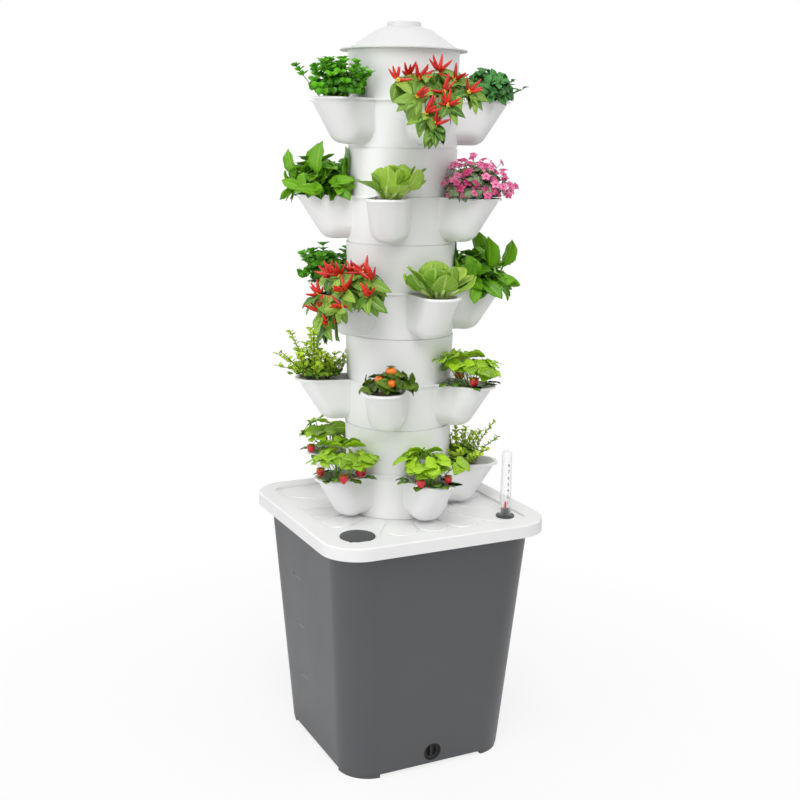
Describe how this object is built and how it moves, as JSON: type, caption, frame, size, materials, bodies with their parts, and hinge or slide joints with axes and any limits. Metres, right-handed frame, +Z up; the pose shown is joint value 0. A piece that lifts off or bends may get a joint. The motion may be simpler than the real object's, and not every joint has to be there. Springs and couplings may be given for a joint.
{
  "type": "hydroponic growing tower",
  "caption": "Free-standing hydroponic tower: square water tank with a tray lid, a stack of turning planter rings with pots, and a roof-shaped cap, fed by a pump and riser inside.",
  "frame": {"origin": "origin on the floor under the middle of the tower", "axes": "+Z up along the tower, -Y towards the face with the drain, +X to the gauge's side"},
  "size_m": [0.35, 0.35, 1.0755],
  "materials": {
    "tank_grey": "dark grey moulded polypropylene, satin",
    "white_plastic": "white moulded plastic, soft gloss",
    "dark_plastic": "dark grey moulded plastic",
    "clear_plastic": "clear polycarbonate tube",
    "red_plastic": "red pointer",
    "black_rubber": "black rubber",
    "pump_black": "black moulded plastic",
    "magnet_grey": "bonded magnet with moulded vanes",
    "ceramic_white": "ceramic shaft",
    "foam_white": "closed foam float",
    "sponge": "growing sponge",
    "foliage": "living leaves"
  },
  "bodies": {
    "base": {"tank": "tank_grey", "pump_housing": "pump_black", "pump_cover": "pump_black", "pump_shaft": "ceramic_white", "pump_feet": "black_rubber", "riser_lower": "white_plastic", "riser_upper": "white_plastic", "riser_coupling": "white_plastic", "distributor": "white_plastic"},
    "rotor": {"pump_rotor": "magnet_grey"},
    "drain": {"drain_plug": "black_rubber", "drain_seal": "black_rubber"},
    "lid": {"lid": "white_plastic", "gauge_base": "dark_plastic", "gauge_tube": "clear_plastic"},
    "filler": {"filler_cap": "dark_plastic"},
    "float": {"gauge_float": "foam_white", "gauge_rod": "white_plastic", "gauge_pointer": "red_plastic"},
    "cap": {"top_cap": "white_plastic"},
    "tier_1": {"planter_1": "white_plastic", "neck_1": "white_plastic", "net_cups_1": "pump_black", "sponges_1": "sponge", "plants_1": "foliage"},
    "tier_2": {"planter_2": "white_plastic", "neck_2": "white_plastic", "net_cups_2": "pump_black", "sponges_2": "sponge", "plants_2": "foliage"},
    "tier_3": {"planter_3": "white_plastic", "neck_3": "white_plastic", "net_cups_3": "pump_black", "sponges_3": "sponge", "plants_3": "foliage"},
    "tier_4": {"planter_4": "white_plastic", "neck_4": "white_plastic", "net_cups_4": "pump_black", "sponges_4": "sponge", "plants_4": "foliage"},
    "tier_5": {"planter_5": "white_plastic", "neck_5": "white_plastic", "net_cups_5": "pump_black", "sponges_5": "sponge", "plants_5": "foliage"}
  },
  "joints": [
    {"name": "impeller_spin", "type": "hinge", "parent": "base", "child": "rotor", "pos_m": [0, 0.017, 0.042], "axis": [0, 1, 0], "continuous": true},
    {"name": "drain_plug_pull", "type": "slide", "parent": "base", "child": "drain", "axis": [0, -1, 0], "range_m": [0, 0.03]},
    {"name": "lid_lift", "type": "slide", "parent": "base", "child": "lid", "axis": [0, 0, 1], "range_m": [0, 0.05]},
    {"name": "filler_cap_lift", "type": "slide", "parent": "lid", "child": "filler", "axis": [0, 0, 1], "range_m": [0, 0.04]},
    {"name": "float_rise", "type": "slide", "parent": "lid", "child": "float", "axis": [0, 0, 1], "range_m": [0, 0.065]},
    {"name": "tier_5_turn", "type": "hinge", "parent": "lid", "child": "tier_5", "pos_m": [0, 0, 0.371], "axis": [0, 0, 1], "continuous": true},
    {"name": "tier_4_turn", "type": "hinge", "parent": "tier_5", "child": "tier_4", "pos_m": [0, 0, 0.504], "axis": [0, 0, 1], "continuous": true},
    {"name": "tier_3_turn", "type": "hinge", "parent": "tier_4", "child": "tier_3", "pos_m": [0, 0, 0.637], "axis": [0, 0, 1], "continuous": true},
    {"name": "tier_2_turn", "type": "hinge", "parent": "tier_3", "child": "tier_2", "pos_m": [0, 0, 0.77], "axis": [0, 0, 1], "continuous": true},
    {"name": "tier_1_turn", "type": "hinge", "parent": "tier_2", "child": "tier_1", "pos_m": [0, 0, 0.903], "axis": [0, 0, 1], "continuous": true},
    {"name": "cap_lift", "type": "slide", "parent": "tier_1", "child": "cap", "axis": [0, 0, 1], "range_m": [0, 0.05]}
  ]
}
